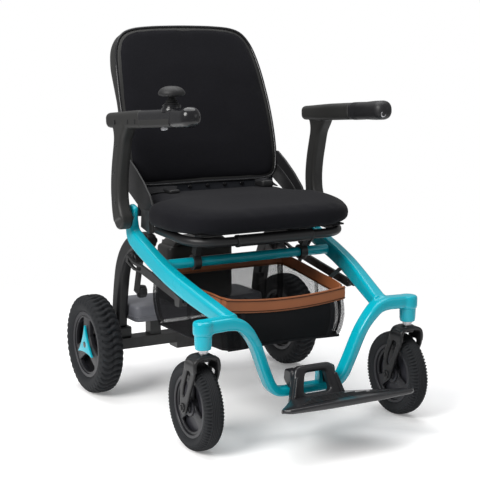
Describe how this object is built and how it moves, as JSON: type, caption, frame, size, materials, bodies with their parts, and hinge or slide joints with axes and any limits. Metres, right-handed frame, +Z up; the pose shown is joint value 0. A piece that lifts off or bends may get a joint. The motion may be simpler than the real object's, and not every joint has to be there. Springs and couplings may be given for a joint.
{
  "type": "power wheelchair",
  "caption": "Folding power wheelchair with a curved side frame, joystick armrest, swivelling front casters, geared rear drive wheels, flip-up footrest and an under-seat basket.",
  "frame": {"origin": "on the floor, under the middle of the chair", "axes": "+Z up, the chair faces -Y, +X is the sitter's left"},
  "size_m": [0.632, 0.87, 0.9185],
  "materials": {
    "teal_paint": "gloss",
    "black_paint": "satin",
    "steel": "satin",
    "black_plastic": "moulded",
    "grey_plastic": "moulded",
    "tyre_rubber": "matte",
    "rim_plastic": "satin",
    "seat_fabric": "knit",
    "mesh_fabric": "mesh",
    "webbing": "woven",
    "rim_leather": "smooth",
    "soft_rubber": "matte"
  },
  "bodies": {
    "front_frame": {"side_tubes": "teal_paint", "caster_arms": "teal_paint", "caster_barrels": "teal_paint", "hoop_legs": "teal_paint", "foot_bar": "teal_paint", "foot_lugs": "teal_paint", "cross_tube": "teal_paint", "seat_struts": "black_paint", "link_tabs": "teal_paint", "pivot_pins": "steel", "seat_frame": "black_paint", "front_sleeve": "soft_rubber", "seat_brackets": "black_paint", "seat_cushion": "seat_fabric", "seat_panel": "seat_fabric", "rear_strip": "seat_fabric", "belt_webbing": "webbing", "belt_buckle": "black_plastic", "belt_tongue": "black_plastic", "basket_bag": "mesh_fabric", "basket_rim": "rim_leather", "basket_hooks": "webbing"},
    "rear_frame": {"rear_leg_left": "black_paint", "rear_leg_right": "black_paint", "leg_fittings": "black_paint", "axle_beam": "black_paint", "base_cover": "grey_plastic", "drive_motors": "black_plastic"},
    "battery": {"battery_pack": "black_plastic"},
    "backrest": {"back_pad": "seat_fabric", "back_frame": "black_plastic", "hinge_plates": "black_paint"},
    "armrest_left": {"arm_post_left": "black_plastic", "arm_pad_left": "soft_rubber", "arm_end_cap": "black_plastic"},
    "armrest_right": {"arm_post_right": "black_plastic", "arm_pad_right": "soft_rubber", "control_pod": "black_plastic"},
    "stick_ring": {"stick_gimbal": "soft_rubber"},
    "stick": {"stick_knob": "soft_rubber"},
    "pod_button": {"pod_button": "black_plastic"},
    "buckle_button": {"buckle_button": "black_plastic"},
    "footrest": {"foot_plate": "black_plastic", "foot_arch": "black_plastic"},
    "fold_link_left": {"fold_link_left": "black_paint"},
    "lock_knob_left": {"lock_knob_left": "black_plastic"},
    "seat_lever_left": {"seat_lever_left": "black_paint"},
    "drive_wheel_left": {"drive_tyre_left": "tyre_rubber", "drive_rim_left": "rim_plastic"},
    "caster_left": {"caster_fork_left": "black_paint"},
    "caster_wheel_left": {"caster_tyre_left": "tyre_rubber", "caster_rim_left": "rim_plastic"},
    "fold_link_right": {"fold_link_right": "black_paint"},
    "lock_knob_right": {"lock_knob_right": "black_plastic"},
    "seat_lever_right": {"seat_lever_right": "black_paint"},
    "drive_wheel_right": {"drive_tyre_right": "tyre_rubber", "drive_rim_right": "rim_plastic"},
    "caster_right": {"caster_fork_right": "black_paint"},
    "caster_wheel_right": {"caster_tyre_right": "tyre_rubber", "caster_rim_right": "rim_plastic"}
  },
  "joints": [
    {"name": "chair_fold", "type": "hinge", "parent": "front_frame", "child": "rear_frame", "pos_m": [0, 0.15, 0.405], "axis": [1, 0, 0], "range_deg": [-50, 0], "deforming": ["basket_bag"]},
    {"name": "fold_link_left", "type": "hinge", "parent": "front_frame", "child": "fold_link_left", "pos_m": [0, -0.074, 0.299], "axis": [1, 0, 0], "range_deg": [-5.9, 0]},
    {"name": "fold_link_right", "type": "hinge", "parent": "front_frame", "child": "fold_link_right", "pos_m": [0, -0.074, 0.299], "axis": [1, 0, 0], "range_deg": [-5.9, 0]},
    {"name": "drive_spin_left", "type": "hinge", "parent": "rear_frame", "child": "drive_wheel_left", "pos_m": [0.285, 0.31, 0.125], "axis": [1, 0, 0], "continuous": true},
    {"name": "caster_swivel_left", "type": "hinge", "parent": "front_frame", "child": "caster_left", "pos_m": [0.272, -0.253, 0.234], "axis": [0, 0, 1], "continuous": true},
    {"name": "caster_spin_left", "type": "hinge", "parent": "caster_left", "child": "caster_wheel_left", "pos_m": [0.272, -0.217, 0.1], "axis": [1, 0, 0], "continuous": true},
    {"name": "armrest_flip_left", "type": "hinge", "parent": "front_frame", "child": "armrest_left", "pos_m": [0.2523, 0.147, 0.465], "axis": [1, 0, 0], "range_deg": [-90, 0]},
    {"name": "lock_knob_pull_left", "type": "slide", "parent": "rear_frame", "child": "lock_knob_left", "axis": [-1, 0, 0], "range_m": [0, 0.008], "stiffness_N_per_m": 400},
    {"name": "seat_lever_turn_left", "type": "hinge", "parent": "front_frame", "child": "seat_lever_left", "pos_m": [0.221, 0.108, 0.441], "axis": [1, 0, 0], "range_deg": [0, 25], "stiffness_Nm_per_rad": 0.5, "springref_deg": -2.86},
    {"name": "drive_spin_right", "type": "hinge", "parent": "rear_frame", "child": "drive_wheel_right", "pos_m": [-0.285, 0.31, 0.125], "axis": [1, 0, 0], "continuous": true},
    {"name": "caster_swivel_right", "type": "hinge", "parent": "front_frame", "child": "caster_right", "pos_m": [-0.272, -0.253, 0.234], "axis": [0, 0, 1], "continuous": true},
    {"name": "caster_spin_right", "type": "hinge", "parent": "caster_right", "child": "caster_wheel_right", "pos_m": [-0.272, -0.217, 0.1], "axis": [1, 0, 0], "continuous": true},
    {"name": "armrest_flip_right", "type": "hinge", "parent": "front_frame", "child": "armrest_right", "pos_m": [-0.2523, 0.147, 0.465], "axis": [1, 0, 0], "range_deg": [-90, 0]},
    {"name": "lock_knob_pull_right", "type": "slide", "parent": "rear_frame", "child": "lock_knob_right", "axis": [1, 0, 0], "range_m": [0, 0.008], "stiffness_N_per_m": 400},
    {"name": "seat_lever_turn_right", "type": "hinge", "parent": "front_frame", "child": "seat_lever_right", "pos_m": [-0.221, 0.108, 0.441], "axis": [1, 0, 0], "range_deg": [0, 25], "stiffness_Nm_per_rad": 0.5, "springref_deg": -2.86},
    {"name": "backrest_fold", "type": "hinge", "parent": "front_frame", "child": "backrest", "pos_m": [0, 0.118, 0.47], "axis": [1, 0, 0], "range_deg": [0, 34]},
    {"name": "footrest_flip", "type": "hinge", "parent": "front_frame", "child": "footrest", "pos_m": [0, -0.245, 0.142], "axis": [1, 0, 0], "range_deg": [-65, 0]},
    {"name": "stick_side", "type": "hinge", "parent": "armrest_right", "child": "stick_ring", "pos_m": [-0.25809, -0.08561, 0.74674], "axis": [0, 1, 0], "range_deg": [-18, 18], "stiffness_Nm_per_rad": 0.6},
    {"name": "stick_fore", "type": "hinge", "parent": "stick_ring", "child": "stick", "pos_m": [-0.25809, -0.08561, 0.74674], "axis": [1, 0, 0], "range_deg": [-18, 18], "stiffness_Nm_per_rad": 0.6},
    {"name": "pod_button_press", "type": "slide", "parent": "armrest_right", "child": "pod_button", "axis": [0, 0, 1], "range_m": [0, 0.002], "stiffness_N_per_m": 300},
    {"name": "buckle_button_press", "type": "slide", "parent": "front_frame", "child": "buckle_button", "axis": [0, 0, -1], "range_m": [0, 0.002], "stiffness_N_per_m": 300},
    {"name": "battery_lift", "type": "slide", "parent": "rear_frame", "child": "battery", "axis": [0, 0, 1], "range_m": [0, 0.1]}
  ],
  "couplings": [
    {"joint": "fold_link_left", "follows": "chair_fold", "ratio": 0.11783},
    {"joint": "fold_link_right", "follows": "chair_fold", "ratio": 0.11783}
  ]
}
